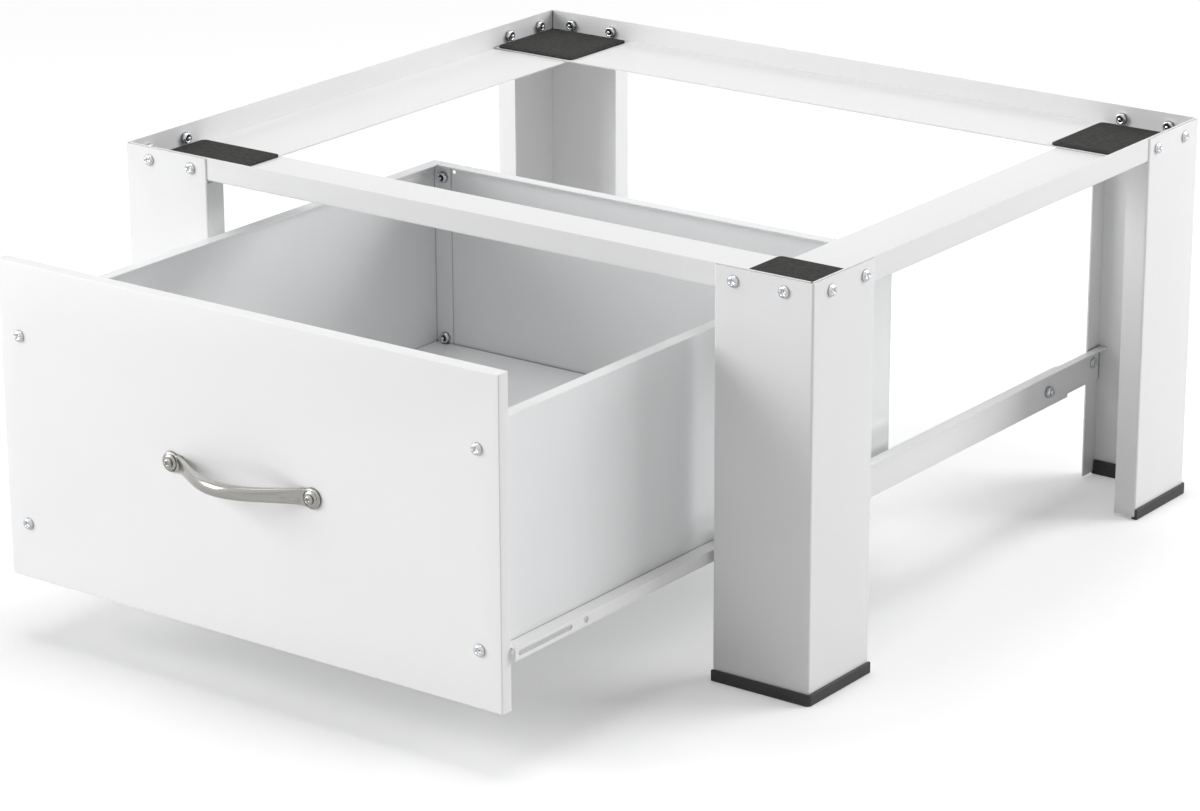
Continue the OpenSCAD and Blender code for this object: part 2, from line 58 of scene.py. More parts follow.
cameraLook = {
    "place": (1.7766, -2.3584, 1.1257),
    "turn": 0.6372, "tilt": -0.3279, "roll": -0.0042,   # radians
    "lens": 123.0, "sensor": 36.0,                      # millimetres
    "nearest": 0.05, "farthest": 60.0,
}
lightLook = {
    "surround": 0.20,                                   # what the white surround gives the object
    "aim": (0.0, 0.05, 0.15), "far": 4.0, "size": 2.4,
    "lamps": {                                          # degrees from the front and up, watts
        "leftLamp": {"round": -45, "up": 20, "power": 114},
        "rightLamp": {"round": 135, "up": 23, "power": 102},
        "backLamp": {"round": 180, "up": 50, "power": 14},
        "topLamp": {"round": 0, "up": 89, "power": 58},
    },
}
floorLook = {"half": 9.0, "drop": 0.0002, "colour": (0.90, 0.90, 0.905), "lift": 0.20,
             "near": 0.9, "away": 2.8}                  # the floor fades to white between these, in metres
white = (1.0, 1.0, 1.0, 1.0)


def makeCamera(look):
    data = bpy.data.cameras.new("camera")
    data.lens, data.sensor_width = look["lens"], look["sensor"]
    data.clip_start, data.clip_end = look["nearest"], look["farthest"]
    camera = bpy.data.objects.new("camera", data)
    scene.collection.objects.link(camera)
    turn = Matrix.Rotation(look["turn"], 4, "Z")
    tilt = Matrix.Rotation(pi / 2 + look["tilt"], 4, "X")
    roll = Matrix.Rotation(look["roll"], 4, "Z")
    camera.matrix_world = Matrix.Translation(look["place"]) @ turn @ tilt @ roll
    scene.camera = camera


# Wraps a socket, so that shader maths can be written as plain expressions
class Wire:
    def __init__(self, tree, socket=None):
        self.tree, self.socket = tree, socket

    def node(self, kind, settings=None, sockets=None, out=0):
        made = self.tree.nodes.new(kind)
        for key, value in (settings or {}).items():
            setattr(made, key, value)
        for key, value in (sockets or {}).items():
            if isinstance(value, Wire):
                self.tree.links.new(value.socket, made.inputs[key])
            else:
                made.inputs[key].default_value = value
        return Wire(self.tree, made.outputs[out]) if made.outputs else made

    def maths(self, operation, first, second):
        return self.node("ShaderNodeMath", {"operation": operation}, {0: first, 1: second})

    def __add__(self, other):
        return self.maths("ADD", self, other)

    def __sub__(self, other):
        return self.maths("SUBTRACT", self, other)

    def __rsub__(self, other):
        return self.maths("SUBTRACT", other, self)

    def __mul__(self, other):
        return self.maths("MULTIPLY", self, other)

    def __gt__(self, other):
        return self.maths("GREATER_THAN", self, other)

    __radd__ = __add__
    __rmul__ = __mul__


# White for every ray that shows the surround, and weaker as a light on the object
def makeSurround(look):
    world = bpy.data.worlds.new("surround")
    scene.world = world
    world.use_nodes = True
    world.node_tree.nodes.clear()
    start = Wire(world.node_tree)
    camera, glossy, through = [start.node("ShaderNodeLightPath", out=ray)
                               for ray in ("Is Camera Ray", "Is Glossy Ray", "Is Transmission Ray")]
    seen = (camera + glossy + through) > 0.5
    strength = look["surround"] + seen * (1.0 - look["surround"])
    light = start.node("ShaderNodeBackground", {}, {"Color": white, "Strength": strength})
    start.node("ShaderNodeOutputWorld", {}, {"Surface": light})


def makeLamps(look):
    for name, lamp in look["lamps"].items():
        data = bpy.data.lights.new(name, "AREA")
        data.shape, data.size, data.energy = "SQUARE", look["size"], lamp["power"]
        lampObject = bpy.data.objects.new(name, data)
        scene.collection.objects.link(lampObject)
        lampObject.visible_camera = False
        way = Vector((0, -1, 0))
        way.rotate(Matrix.Rotation(-radians(lamp["up"]), 3, "X"))
        way.rotate(Matrix.Rotation(radians(lamp["round"]), 3, "Z"))
        lampObject.location = Vector(look["aim"]) + way * look["far"]
        lampObject.rotation_euler = (-way).to_track_quat("-Z", "Y").to_euler()


# A matt floor that the camera sees a little lifted, and white further out
def makeFloor(look):
    bm = bmesh.new()
    bmesh.ops.create_grid(bm, x_segments=1, y_segments=1, size=look["half"])
    bmesh.ops.translate(bm, verts=bm.verts, vec=(0, 0, -look["drop"]))
    mesh = bpy.data.meshes.new("studioFloor")
    bm.to_mesh(mesh)
    bm.free()
    material = bpy.data.materials.new("studioFloor")
    material.use_nodes = True
    material.node_tree.nodes.clear()
    start = Wire(material.node_tree)
    camera = start.node("ShaderNodeLightPath", out="Is Camera Ray")
    where = start.node("ShaderNodeTexCoord", out="Object")
    away = start.node("ShaderNodeVectorMath", {"operation": "LENGTH"}, {0: where}, out="Value")
    fade = start.node("ShaderNodeMapRange", {"interpolation_type": "SMOOTHSTEP"},
                      {"Value": away, "From Min": look["near"], "From Max": look["away"]})
    matt = start.node("ShaderNodeBsdfDiffuse", {}, {"Color": (*look["colour"], 1.0)})
    glow = start.node("ShaderNodeEmission", {}, {"Color": white, "Strength": look["lift"]})
    lifted = start.node("ShaderNodeAddShader", {}, {0: matt, 1: glow})
    close = start.node("ShaderNodeMixShader", {}, {0: camera, 1: matt, 2: lifted})
    far = start.node("ShaderNodeEmission", {}, {"Color": white, "Strength": 1.0})
    floor = start.node("ShaderNodeMixShader", {}, {0: camera * fade, 1: close, 2: far})
    start.node("ShaderNodeOutputMaterial", {}, {"Surface": floor})
    mesh.materials.append(material)
    studioFloor = bpy.data.objects.new("studioFloor", mesh)
    scene.collection.objects.link(studioFloor)


scene.view_settings.view_transform = "Standard"
makeCamera(cameraLook)
makeSurround(lightLook)
makeLamps(lightLook)
makeFloor(floorLook)
print("camera, floor and light are set")


finishLook = {
    "stand_coat": {"kind": "coat", "colour": (0.84, 0.84, 0.842), "gloss": 0.30, "shine": 0.40, "coat": 0.12},
    "rail_coat": {"kind": "coat", "colour": (0.82, 0.82, 0.822), "gloss": 0.34, "shine": 0.30, "coat": 0.08},
    "panel_coat": {"kind": "coat", "colour": (0.86, 0.86, 0.86), "gloss": 0.34, "shine": 0.40, "coat": 0.10},
    "drawer_coat": {"kind": "coat", "colour": (0.826, 0.834, 0.838), "gloss": 0.20, "shine": 0.50,
                    "coat": 0.35},
    "slide_coat": {"kind": "coat", "colour": (0.84, 0.84, 0.835), "gloss": 0.36, "shine": 0.40, "coat": 0.08},
    "strip_plastic": {"kind": "plastic", "colour": (0.057, 0.057, 0.058), "gloss": 0.50, "shine": 0.25},
    "roller_plastic": {"kind": "plastic", "colour": (0.76, 0.75, 0.71), "gloss": 0.45, "shine": 0.50},
    "pad_rubber": {"kind": "rubber", "colour": (0.042, 0.042, 0.040), "gloss": 0.88, "shine": 0.12},
    "zinc": {"kind": "metal", "colour": (0.62, 0.63, 0.65), "gloss": 0.24, "stretch": (900, 900, 900)},
    "axle_steel": {"kind": "metal", "colour": (0.56, 0.56, 0.57), "gloss": 0.28,
                   "stretch": (900, 2600, 2600)},
    "handle_nickel": {"kind": "metal", "colour": (0.40, 0.39, 0.37), "gloss": 0.23,
                      "stretch": (60, 3800, 3800)},
}


def startFinish(name):
    material = bpy.data.materials.new(name)
    material.use_nodes = True
    material.node_tree.nodes.clear()
    start = Wire(material.node_tree)
    return material, start, start.node("ShaderNodeTexCoord", out="Object")


def endFinish(start, sockets):
    shader = start.node("ShaderNodeBsdfPrincipled", {}, sockets)
    start.node("ShaderNodeOutputMaterial", {}, {"Surface": shader})


# Mixes two colours, each a wire or three values; 6, 7 and the second output are the node's colour sockets
def mixed(start, factor, first, second):
    first, second = [colour if isinstance(colour, Wire) else (*colour, 1.0) for colour in (first, second)]
    return start.node("ShaderNodeMix", {"data_type": "RGBA"}, {0: factor, 6: first, 7: second}, out=2)


def noise(start, where, scale, detail):
    return start.node("ShaderNodeTexNoise", {}, {"Vector": where, "Scale": scale, "Detail": detail})


def cells(start, where, scale):
    return start.node("ShaderNodeTexVoronoi", {"feature": "F1"}, {"Vector": where, "Scale": scale})


def clamped(start, value):
    return start.node("ShaderNodeClamp", {}, {"Value": value})


def bumped(start, look, height):
    return start.node("ShaderNodeBump", {}, {"Strength": look["strength"], "Distance": look["relief"],
                                             "Height": height})


def shaded(colour, factor):
    return [min(1.0, value * factor) for value in colour]


# A pattern of 0 to 1 laid round a middle value
def spread(pattern, middle, swing):
    return pattern * swing + (middle - swing / 2)


# Patterns are (scale, detail) or a scale; tones, heights and swings say how much each pattern counts
coatLook = {
    "drift": (7.0, 3.0), "peel": (420.0, 1.0), "fine": (1500.0, 2.0), "specks": 130.0,
    "speckSize": 0.06, "speckEdge": 16.0, "dull": 0.975, "bright": 1.02,
    "driftTone": 0.8, "speckTone": 0.12, "driftGloss": 0.10, "speckGloss": 0.1,
    "peelCoat": 0.1, "coatGloss": 0.10,
    "peelHeight": 0.75, "fineHeight": 0.25, "speckHeight": 0.3, "relief": 0.00001, "strength": 0.6,
}
# Painted shade: where sheets meet, ambient occlusion darkens the coat's colour within this reach in metres
seamShadeLook = {"reach": 0.0025, "start": 0.76, "strength": 2.2, "colour": (0.20, 0.21, 0.225), "samples": 8}


# Powder coat: a slow drift in tone, a fine orange peel and specks where the powder flowed less, with painted
# shade darkening its colour where sheets meet
def makeCoat(name, look):
    own = coatLook
    material, start, where = startFinish(name)
    drift, peel, fine = [noise(start, where, *own[key]) for key in ("drift", "peel", "fine")]
    speck = clamped(start, (own["speckSize"] - cells(start, where, own["specks"])) * own["speckEdge"])
    plain = mixed(start, drift * own["driftTone"] + speck * own["speckTone"],
                  shaded(look["colour"], own["bright"]), shaded(look["colour"], own["dull"]))
    # Painted shade: ambient occlusion mixes the base colour towards a dark blue-grey in creases and between
    # parts
    openness = start.node("ShaderNodeAmbientOcclusion", {"samples": seamShadeLook["samples"]},
                          {"Distance": seamShadeLook["reach"]}, out="AO")
    paintedSeamShade = clamped(start, (seamShadeLook["start"] - openness) * seamShadeLook["strength"])
    height = peel * own["peelHeight"] + fine * own["fineHeight"] + speck * own["speckHeight"]
    rough = spread(drift, look["gloss"], own["driftGloss"]) + speck * own["speckGloss"]
    endFinish(start, {"Base Color": mixed(start, paintedSeamShade, plain, seamShadeLook["colour"]),
                      "Roughness": rough, "Specular IOR Level": look["shine"],
                      "Coat Weight": spread(peel, look["coat"], own["peelCoat"]),
                      "Coat Roughness": own["coatGloss"], "Normal": bumped(start, own, height)})
    return material


plasticLook = {"spark": (700.0, 3.0), "drift": (28.0, 2.0), "dark": 0.80, "pale": 1.20, "sparkTone": 0.6,
               "driftTone": 0.4, "sparkGloss": 0.16, "relief": 0.00005, "strength": 0.6}


# Moulded plastic: an even, slightly sparked surface
def makePlastic(name, look):
    own = plasticLook
    material, start, where = startFinish(name)
    spark, drift = [noise(start, where, *own[key]) for key in ("spark", "drift")]
    colour = mixed(start, drift * own["driftTone"] + spark * own["sparkTone"],
                   shaded(look["colour"], own["dark"]), shaded(look["colour"], own["pale"]))
    endFinish(start, {"Base Color": colour, "Roughness": spread(spark, look["gloss"], own["sparkGloss"]),
                      "Specular IOR Level": look["shine"], "Normal": bumped(start, own, spark)})
    return material


rubberLook = {"pores": 620.0, "cloud": (260.0, 5.0), "fine": (1500.0, 2.0), "dark": 0.55, "pale": 1.50,
              "cloudTone": 1.5, "fineTone": 0.6, "toneStart": 0.55, "cloudGloss": 0.14,
              "poreHeight": 0.6, "fineHeight": 0.4, "relief": 0.00018, "strength": 0.9}


# Rubber: dense fine pores over cloudy patches
def makeRubber(name, look):
    own = rubberLook
    material, start, where = startFinish(name)
    cloud, fine = [noise(start, where, *own[key]) for key in ("cloud", "fine")]
    pores = cells(start, where, own["pores"])
    colour = mixed(start, cloud * own["cloudTone"] + fine * own["fineTone"] - own["toneStart"],
                   shaded(look["colour"], own["dark"]), shaded(look["colour"], own["pale"]))
    height = pores * own["poreHeight"] + fine * own["fineHeight"]
    endFinish(start, {"Base Color": colour, "Roughness": spread(cloud, look["gloss"], own["cloudGloss"]),
                      "Specular IOR Level": look["shine"], "Normal": bumped(start, own, height)})
    return material


# The grain's own scale is 1, because each metal gives its stretch
metalLook = {"grain": (1.0, 2.0), "drift": (160.0, 2.0), "dark": 0.90, "pale": 1.10, "grainTone": 0.6,
             "driftTone": 0.4, "grainGloss": 0.16, "driftGloss": 0.06, "relief": 0.000012, "strength": 0.5}


# Metal: a fine spangle, or brush lines where the stretch is uneven
def makeMetal(name, look):
    own = metalLook
    material, start, where = startFinish(name)
    lines = start.node("ShaderNodeMapping", {}, {"Vector": where, "Scale": look["stretch"]})
    grain, drift = noise(start, lines, *own["grain"]), noise(start, where, *own["drift"])
    colour = mixed(start, grain * own["grainTone"] + drift * own["driftTone"],
                   shaded(look["colour"], own["dark"]), shaded(look["colour"], own["pale"]))
    rough = spread(grain, look["gloss"], own["grainGloss"]) + spread(drift, 0.0, own["driftGloss"])
    endFinish(start, {"Base Color": colour, "Metallic": 1.0, "Roughness": rough,
                      "Normal": bumped(start, own, grain)})
    return material


makers = {"coat": makeCoat, "plastic": makePlastic, "rubber": makeRubber, "metal": makeMetal}
finishes = {name: makers[look["kind"]](name, look) for name, look in finishLook.items()}
print("finishes: %d" % len(finishes))


pieceLook = {"merge": 0.000002, "alike": 0.00001,        # metres
             "flat": 0.5, "softAngle": 28, "softSteps": 2}    # degrees, and steps of a soft edge


def addPiece(name, bm, stands, soften=None):
    mesh = bpy.data.meshes.new(name)
    bm.to_mesh(mesh)
    bm.free()
    for spare in ("custom_normal", "sharp_edge", "sharp_face"):    # a copied node brings these along
        if spare in mesh.attributes:
            mesh.attributes.remove(mesh.attributes[spare])
    for face in mesh.polygons:
        face.use_smooth = True
    slotName = slotOf[stands]
    mesh.materials.append(finishes[slotName])
    piece = bpy.data.objects.new(name, mesh)
    scene.collection.objects.link(piece)
    if soften:
        edge = piece.modifiers.new("softEdges", "BEVEL")
        edge.width, edge.segments, edge.limit_method = soften, pieceLook["softSteps"], "ANGLE"
        edge.angle_limit, edge.harden_normals = radians(pieceLook["softAngle"]), True
    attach(piece, bodyOf[stands])
    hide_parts(stands)


def mergedNode(name):
    bm = bmesh.new()
    bm.from_mesh(nodes[name].data)
    bmesh.ops.remove_doubles(bm, verts=bm.verts, dist=pieceLook["merge"])
    return bm


def copiedNode(name):
    bm = mergedNode(name)
    bmesh.ops.dissolve_limit(bm, angle_limit=radians(pieceLook["flat"]), verts=bm.verts, edges=bm.edges)
    return bm


# The separate solids of a node, each one as its list of points
def solidsOf(name):
    bm = mergedNode(name)
    bm.verts.ensure_lookup_table()
    taken, solids = set(), []
    for first in bm.verts:
        if first.index in taken:
            continue
        taken.add(first.index)
        waiting, points = [first], []
        while waiting:
            vert = waiting.pop()
            points.append(vert.co.copy())
            for edge in vert.link_edges:
                other = edge.other_vert(vert)
                if other.index not in taken:
                    taken.add(other.index)
                    waiting.append(other)
        solids.append(points)
    bm.free()
    return solids


def vertsOf(items):
    return [item for item in items if isinstance(item, bmesh.types.BMVert)]


# A ring to start a shape of loops, in a bmesh that is still empty
def firstLoop(bm, count):
    ring = bmesh.ops.create_circle(bm, segments=count, radius=1.0)["verts"]
    return ring, bm.edges[:]


def nextLoop(bm, edges):
    made = bmesh.ops.extrude_edge_only(bm, edges=edges)["geom"]
    return vertsOf(made), [item for item in made if isinstance(item, bmesh.types.BMEdge)]


# Loops of equal count laid one on the other: each is a height with a radius, or a radius for every angle
def stackLoops(count, loops, closed=False):
    bm = bmesh.new()
    ring, edges = firstLoop(bm, count)
    firstEdges = edges
    for number, (height, radius) in enumerate(loops):
        if number:
            ring, edges = nextLoop(bm, edges)
        for vert in ring:
            way = Vector((vert.co.x, vert.co.y, 0)).normalized()
            angle = way.to_2d().angle_signed(Vector((1, 0))) % (2 * pi)
            size = radius(angle) if callable(radius) else radius
            vert.co = (way.x * size, way.y * size, height(angle) if callable(height) else height)
    if closed:
        bmesh.ops.bridge_loops(bm, edges=firstEdges + edges)
    else:
        bmesh.ops.holes_fill(bm, edges=firstEdges + edges, sides=0)
    bmesh.ops.recalc_face_normals(bm, faces=bm.faces)
    return bm


# A turned part: the profile is radius and height, spun once round the height
def turned(profile, steps):
    bm = bmesh.new()
    verts = [bm.verts.new((radius, 0, height)) for radius, height in profile]
    edges = [bm.edges.new((verts[i], verts[(i + 1) % len(verts)])) for i in range(len(verts))]
    bmesh.ops.spin(bm, geom=verts + edges, cent=(0, 0, 0), axis=(0, 0, 1), dvec=(0, 0, 0),
                   angle=2 * pi, steps=steps, use_merge=True, use_duplicate=False)
    bmesh.ops.remove_doubles(bm, verts=bm.verts, dist=pieceLook["merge"] / 2)
    bmesh.ops.recalc_face_normals(bm, faces=bm.faces)
    return bm


def asMesh(bm):
    mesh = bpy.data.meshes.new("pattern")
    bm.to_mesh(mesh)
    bm.free()
    return mesh


def addCopy(bm, pattern, place):
    copy = pattern.copy()
    copy.transform(place)
    bm.from_mesh(copy)
    bpy.data.meshes.remove(copy)


# The place of a part that stands on a point, with its height pointing outward
def standing(point, outward, spin=0.0):
    return (Matrix.Translation(point) @ outward.to_track_quat("Z", "Y").to_matrix().to_4x4()
            @ Matrix.Rotation(spin, 4, "Z"))


# Folded sheets are the CAD shape with the slightly soft edges that a coat leaves
sheetLook = {"soft": 0.00022, "stripSoft": 0.0005, "panelSoft": 0.00030, "panelFold": 0.0010, "foldSteps": 4,
             "rimNear": 0.00002}
sheetSlots = ("stand_coat", "rail_coat", "panel_coat", "drawer_coat", "slide_coat", "strip_plastic")


# The panel's front edge is folded over a larger radius
def foldPanel(bm, look):
    low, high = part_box("drawer_front")

    def onRim(co):
        side = min(abs(co.x - low.x), abs(co.x - high.x), abs(co.z - low.z), abs(co.z - high.z))
        return abs(co.y - low.y) < look["rimNear"] and side < look["rimNear"]
    rim = [edge for edge in bm.edges if all(onRim(vert.co) for vert in edge.verts)]
    bmesh.ops.bevel(bm, geom=rim, offset=look["panelFold"], offset_type="OFFSET", affect="EDGES",
                    segments=look["foldSteps"], profile=0.5, material=-1, clamp_overlap=False)
    print("panel rim: %d edges" % len(rim))


sheetNodes = [name for name, slotName in slotOf.items() if slotName in sheetSlots]
for name in sheetNodes:
    bm, soften = copiedNode(name), sheetLook["soft"]
    if name == "drawer_front":
        foldPanel(bm, sheetLook)
        soften = sheetLook["panelSoft"]
    elif slotOf[name] == "strip_plastic":
        soften = sheetLook["stripSoft"]
    addPiece(name + "_sheet", bm, name, soften)
print("sheets: %d" % len(sheetNodes))


padLook = {"corner": 0.004, "cornerSteps": 6, "rim": 0.0032, "step": 0.0004, "round": 0.0003}
padNodes = ["front_left_pad", "front_right_pad", "back_left_pad", "back_right_pad"]


# A pad with round corners and a slightly raised field inside its rim
def makePad(node, look):
    low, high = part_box(node)
    bm = bmesh.new()
    bmesh.ops.create_cube(bm, size=1.0)
    size = high - low - Vector((0, 0, look["step"]))
    bmesh.ops.scale(bm, verts=bm.verts, vec=size)
    bmesh.ops.translate(bm, verts=bm.verts, vec=low + size / 2)
    upright = [edge for edge in bm.edges if abs(edge.verts[0].co.z - edge.verts[1].co.z) > size.z / 2]
    bmesh.ops.bevel(bm, geom=upright, offset=look["corner"], offset_type="OFFSET", affect="EDGES",
                    segments=look["cornerSteps"], profile=0.5, material=-1)
    top = max(bm.faces, key=lambda face: face.calc_center_median().z)
    bmesh.ops.inset_region(bm, faces=[top], thickness=look["rim"], depth=0.0)
    field = bmesh.ops.extrude_face_region(bm, geom=[top])["geom"]
    bmesh.ops.translate(bm, verts=vertsOf(field), vec=(0, 0, look["step"]))
    bmesh.ops.delete(bm, geom=[top], context="FACES")
    bmesh.ops.recalc_face_normals(bm, faces=bm.faces)
    return bm


for node in padNodes:
    addPiece(node + "_rubber", makePad(node, padLook), node, padLook["round"])
print("pads: %d" % len(padNodes))


# Shares are of the head's or the shank's own height and radius, the other sizes are metres
screwLook = {
    "sides": 32, "turn": 0.4, "turnStep": 0.83,
    "tip": [(0.0, 0.80), (0.15, 0.92)],
    "threadPitch": 0.0008, "threadLength": 0.006, "threadStart": 0.2, "threadEnd": 0.0002,
    "crestPlace": 0.25, "rootPlace": 0.75, "root": 0.93,
    "head": [(0.0, 0.97), (0.10, 1.0), (0.38, 0.985), (0.62, 0.92), (0.82, 0.80), (0.95, 0.66)],
    "slotWidth": 0.17, "slotLength": 0.60,
    "recess": [(1.0, 1.08, 1.05), (0.695, 0.9, 0.8), (0.45, 0.6, 0.35)],    # height, slot's width, its length
    "rimShare": 0.97, "leastShare": 0.25,                # points of the head's rim, and points that count
}
nutLook = {"sides": 24, "chamfer": 0.96, "chamferAngle": 30, "sink": 0.0003}
screwNodes = ["leg_screws", "side_bar_screws", "channel_bolts", "front_panel_screws", "drawer_back_screws",
              "runner_screws", "handle_screws"]
nutNodes = ["leg_nuts", "channel_nuts", "front_panel_nuts", "drawer_back_nuts", "handle_nuts"]


# Outline of the cross recess at an angle
def crossAt(angle, halfWidth, halfLength):
    off = abs((angle + pi / 4) % (pi / 2) - pi / 4)
    if sin(off) * halfLength <= halfWidth * cos(off):
        return halfLength / cos(off)
    return halfWidth / sin(off)


# A screw with its seat at height 0, a domed head with a cross recess above and a thread of fine rings below
def makeScrew(headRadius, headHeight, shankRadius, shankLength, look):
    pitch = look["threadPitch"]
    loops = [(-shankLength + shankRadius * height, shankRadius * radius) for height, radius in look["tip"]]
    for ridge in range(max(2, int(min(shankLength, look["threadLength"]) / pitch))):
        height = -shankLength + shankRadius * look["threadStart"] + ridge * pitch
        loops += [(height + pitch * look["crestPlace"], shankRadius),
                  (height + pitch * look["rootPlace"], shankRadius * look["root"])]
    loops = [loop for loop in loops if loop[0] < -look["threadEnd"]]
    loops += [(-look["threadEnd"] / 2, shankRadius)]
    loops += [(headHeight * height, headRadius * radius) for height, radius in look["head"]]
    loops += [(headHeight * height, partial(crossAt, halfWidth=headRadius * look["slotWidth"] * width,
                                            halfLength=headRadius * look["slotLength"] * length))
              for height, width, length in look["recess"]]
    return asMesh(stackLoops(look["sides"], loops))


# A hexagon nut that stands on height 0, with its corners chamfered and its bore sunk at both ends
def makeNut(flats, tall, bore, look):
    rim, sink = flats / 2 * look["chamfer"], look["sink"]

    def hexAt(angle):
        return flats / 2 / cos((angle % (pi / 3)) - pi / 6)

    def chamferAt(angle):
        return (hexAt(angle) - rim) * tan(radians(look["chamferAngle"]))

    def topAt(angle):
        return tall - chamferAt(angle)
    loops = [(sink, bore), (0.0, bore + sink), (0.0, rim), (chamferAt, hexAt),
             (topAt, hexAt), (tall, rim), (tall, bore + sink), (tall - sink, bore)]
    return asMesh(stackLoops(look["sides"], loops, closed=True))


def corners(points):
    return (Vector([min(point[i] for point in points) for i in range(3)]),
            Vector([max(point[i] for point in points) for i in range(3)]))


# Distance of a point from the line through the middle along an axis
def offAxis(point, middle, axis):
    return sqrt(sum((point[i] - middle[i]) ** 2 for i in range(3) if i != axis))


def along(axis, length):
    return Vector([length if i == axis else 0 for i in range(3)])


# Solids with the same key share one detailed pattern
def sizeKey(sizes):
    return tuple(round(value / pieceLook["alike"]) for value in sizes)


# One detailed screw for each solid of the node, measured from the solid's own points
def layScrews(node, look):
    bm = bmesh.new()
    patterns = {}
    for number, points in enumerate(solidsOf(node)):
        low, high = corners(points)
        size, middle = high - low, (low + high) / 2
        axis = min(range(3), key=lambda i: abs(size[i - 1] - size[i - 2]))    # the section is as wide as high
        radii = [offAxis(point, middle, axis) for point in points]
        headRadius = max(radii)
        headPlaces = [point[axis] for point, r in zip(points, radii) if r > headRadius * look["rimShare"]]
        shankRadius = min(r for r in radii if r > headRadius * look["leastShare"])
        headUp = sum(headPlaces) / len(headPlaces) > middle[axis]
        seat = min(headPlaces) if headUp else max(headPlaces)
        headHeight = high[axis] - seat if headUp else seat - low[axis]
        sizes = (headRadius, headHeight, shankRadius, size[axis] - headHeight)
        key = sizeKey(sizes)
        if key not in patterns:
            patterns[key] = makeScrew(*sizes, look)
        spot = middle.copy()
        spot[axis] = seat
        outward = along(axis, 1 if headUp else -1)
        addCopy(bm, patterns[key], standing(spot, outward, look["turn"] + number * look["turnStep"]))
    addPiece(node + "_crossed", bm, node)


# One detailed nut for each solid of the node, turned like the solid's hexagon
def layNuts(node, look):
    bm = bmesh.new()
    patterns = {}
    for points in solidsOf(node):
        low, high = corners(points)
        size, middle = high - low, (low + high) / 2
        axis = min(range(3), key=lambda i: size[i])      # a nut is flattest along its bore
        flats = min(size[i] for i in range(3) if i != axis)
        sizes = (flats, size[axis], min(offAxis(point, middle, axis) for point in points))
        key = sizeKey(sizes)
        if key not in patterns:
            patterns[key] = makeNut(*sizes, look)
        foot = middle.copy()
        foot[axis] = low[axis]
        place = standing(foot, along(axis, 1))
        corner = max(points, key=lambda point: (point - middle).length) - middle
        turn = (place.to_3x3().inverted() @ corner).to_2d().angle_signed(Vector((1, 0)))
        addCopy(bm, patterns[key], place @ Matrix.Rotation(turn, 4, "Z"))
    addPiece(node + "_hex", bm, node)


for node in screwNodes:
    layScrews(node, screwLook)
for node in nutNodes:
    layNuts(node, nutLook)
print("screws and nuts: %d sets" % (len(screwNodes) + len(nutNodes)))


handleLook = {
    "power": 1.2, "thick": 0.007, "gap": 0.0003,         # the bow's curve, and its distance from the washers
    "grip": 0.0096, "ends": 0.012, "widen": 1.5,         # height in the middle, at the ends, and its growth
    "round": 0.50, "square": 2.6,                        # how deep the front is rounded, and how square
    "arch": 0.13, "dish": 0.0009, "dishFull": 0.02,      # flat dished ends, the arch and full dish in shares
    "backCorner": 0.72, "backRound": 0.22, "backTall": 1.12, "least": 0.0001,
    "steps": 72, "around": 28, "buried": 0.04,           # the ends run on into the feet
    "footThick": 0.0025, "footBore": 0.0022, "footSides": 48,
    "footShape": [(1.0, 0.0), (1.0, 0.55), (0.975, 0.8), (0.93, 0.94), (0.87, 1.0)],
    "washerBore": 0.0021, "washerSides": 40,
    "washerShape": [(0.98, 0.0), (1.0, 0.2), (0.97, 0.42), (0.86, 0.62), (0.80, 0.95), (0.74, 1.0)],
}


# How far in front of the panel, and how high from the bar's middle, a point of the bow's section lies
def bowSection(angle, outer, thick, near, look):
    tall = sin(angle)
    if cos(angle) < 0:                                   # back: nearly flat with rounded corners
        corner = max(0.0, abs(tall) - look["backCorner"]) / (1 - look["backCorner"])
        depth = outer - thick * (1 - look["backRound"] * corner ** 2)
        return depth, max(-1.0, min(1.0, tall * look["backTall"]))
    flat = max(0.0, 1 - near / look["arch"])             # front: half round, cut flat near the ends
    bulge = max(0.0, (abs(tall) - flat) / (1 + look["least"] - flat))
    sink = 1 - max(0.0, 1 - bulge ** look["square"]) ** (1 / look["square"])
    depth = outer - thick * look["round"] * sink
    if abs(tall) < flat:
        depth -= look["dish"] * (1 - abs(tall) / flat) * min(1.0, near / look["dishFull"])
    return depth, tall


# The handle's screws stand in the middles of a node's two round ends: the ends' radius, the distance
# between them, and the point midway on the back
def roundEnds(node):
    low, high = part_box(node)
    first, second = [sum(corners(points), Vector()) / 2 for points in solidsOf("handle_screws")]
    span = (second - first).length
    return (high.x - low.x - span) / 2, span, Vector((0, high.y, (low.z + high.z) / 2))


def addAtEnds(bm, pattern, span, middle):
    for side in (-1, 1):
        addCopy(bm, pattern, standing(middle + Vector((side * span / 2, 0, 0)), Vector((0, -1, 0))))


# A low ring: the shape is shares of radius and height from the outer foot to the top
def lowRing(bore, radius, deep, shape, sides):
    profile = [(bore, 0.0)] + [(radius * wide, deep * height) for wide, height in shape] + [(bore, deep)]
    return asMesh(turned(profile, sides))


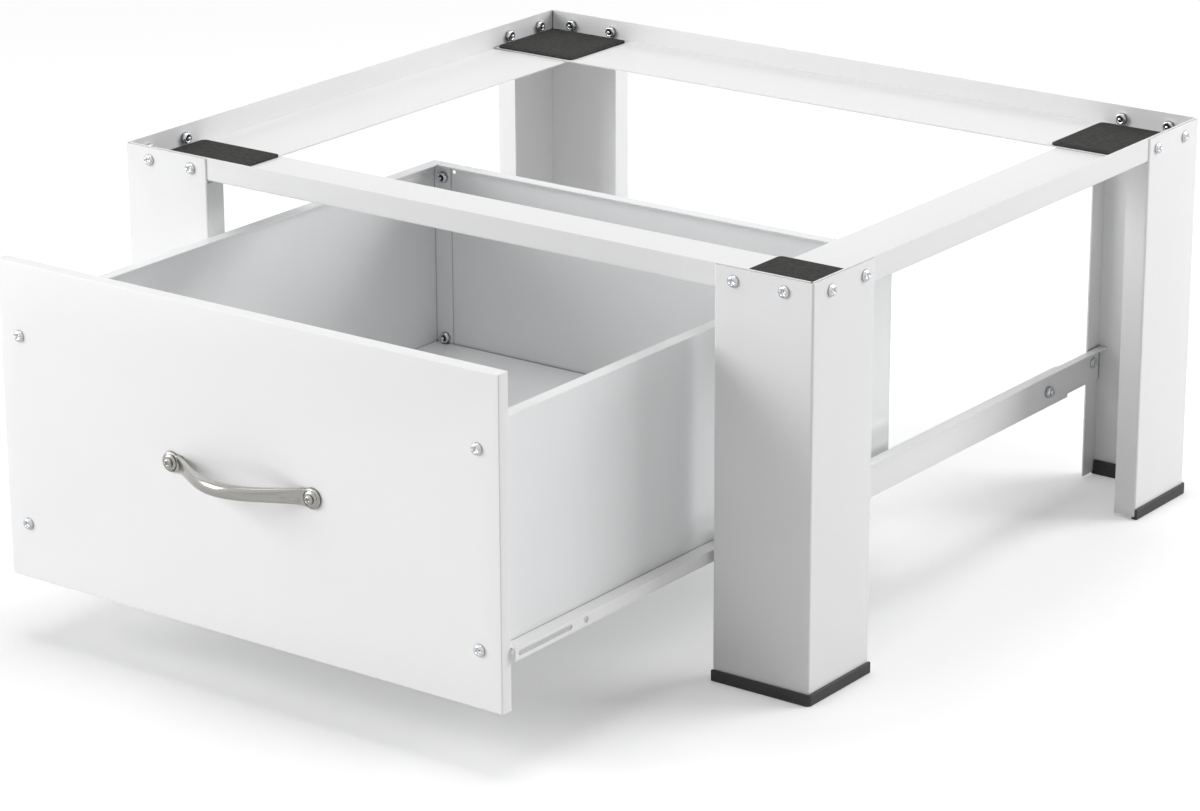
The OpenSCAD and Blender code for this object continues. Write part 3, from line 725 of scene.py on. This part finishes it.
def makeHandle(look):
    low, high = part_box("handle")
    reach = high.y - low.y
    footRadius, span, middle = roundEnds("handle")
    washerRadius = roundEnds("handle_washers")[0]
    half = span / 2 - washerRadius - look["gap"]
    bm = bmesh.new()
    ring, edges = firstLoop(bm, look["around"])
    firstEdges = edges
    angleOf = {vert: Vector((1, 0)).angle_signed(vert.co.to_2d()) for vert in ring}
    order = sorted(ring, key=lambda vert: angleOf[vert])
    angles = [angleOf[vert] for vert in order]
    turns = [pi * step / look["steps"] for step in range(look["steps"] + 1)]
    shares = [(1 - cos(turn)) / 2 for turn in turns]     # closer steps at the ends
    for number, share in enumerate([-look["buried"]] + shares + [1 + look["buried"]]):
        if number:
            fresh, edges = nextLoop(bm, edges)
            order = [min(fresh, key=lambda v, o=old: (v.co - o.co).length) for old in order]
        inside = min(1.0, max(0.0, share))
        rise = sin(pi * inside)
        outer = look["footThick"] + (reach - look["footThick"]) * rise ** look["power"]
        thick = look["footThick"] + (look["thick"] - look["footThick"]) * rise
        wide = look["grip"] + (look["ends"] - look["grip"]) * (1 - rise) ** look["widen"]
        for vert, angle in zip(order, angles):
            depth, tall = bowSection(angle, outer, thick, min(inside, 1 - inside), look)
            vert.co = middle + Vector(((2 * share - 1) * half, -depth, tall * wide / 2))
    bmesh.ops.holes_fill(bm, edges=firstEdges + edges, sides=0)
    bmesh.ops.recalc_face_normals(bm, faces=bm.faces)
    foot = lowRing(look["footBore"], footRadius, look["footThick"], look["footShape"], look["footSides"])
    addAtEnds(bm, foot, span, middle)
    return bm


def makeWashers(look):
    low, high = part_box("handle_washers")
    radius, span, middle = roundEnds("handle_washers")
    washer = lowRing(look["washerBore"], radius, high.y - low.y, look["washerShape"], look["washerSides"])
    bm = bmesh.new()
    addAtEnds(bm, washer, span, middle)
    return bm


addPiece("handle_bow", makeHandle(handleLook), "handle")
addPiece("handle_washers_dished", makeWashers(handleLook), "handle_washers")
print("handle is made")


rollerLook = {"bore": 0.00205, "hub": 0.0042, "web": 0.0012, "rim": 0.0022, "rimSlope": 0.0004,
              "rimStep": 0.0001, "round": 0.0006, "roundShare": 0.3, "sides": 56, "axleSoft": 0.00018}
rollerNodes = ["left_front_roller", "right_front_roller", "left_rear_roller", "right_rear_roller"]
axleNodes = ["front_roller_axles", "rear_roller_axles"]


# A roller with a hub, a sunk web on both sides and a rounded rim
def makeRoller(node, look):
    low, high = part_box(node)
    wide, radius = high.x - low.x, (high.z - low.z) / 2
    soft, bend, rimFoot = look["round"], look["round"] * look["roundShare"], radius - look["rim"]
    side = [(look["bore"], 0), (look["hub"], 0), (look["hub"], look["web"]), (rimFoot, look["web"]),
            (rimFoot + look["rimSlope"], look["rimStep"]), (radius - soft, 0), (radius - bend, bend),
            (radius, soft)]
    bm = turned(side + [(r, wide - height) for r, height in reversed(side)], look["sides"])
    middle = (low + high) / 2
    bmesh.ops.transform(bm, verts=bm.verts,
                        matrix=standing(Vector((low.x, middle.y, middle.z)), Vector((1, 0, 0))))
    return bm


for node in rollerNodes:
    addPiece(node + "_wheel", makeRoller(node, rollerLook), node)
for node in axleNodes:
    addPiece(node + "_turned", copiedNode(node), node, rollerLook["axleSoft"])
print("rollers: %d" % len(rollerNodes))
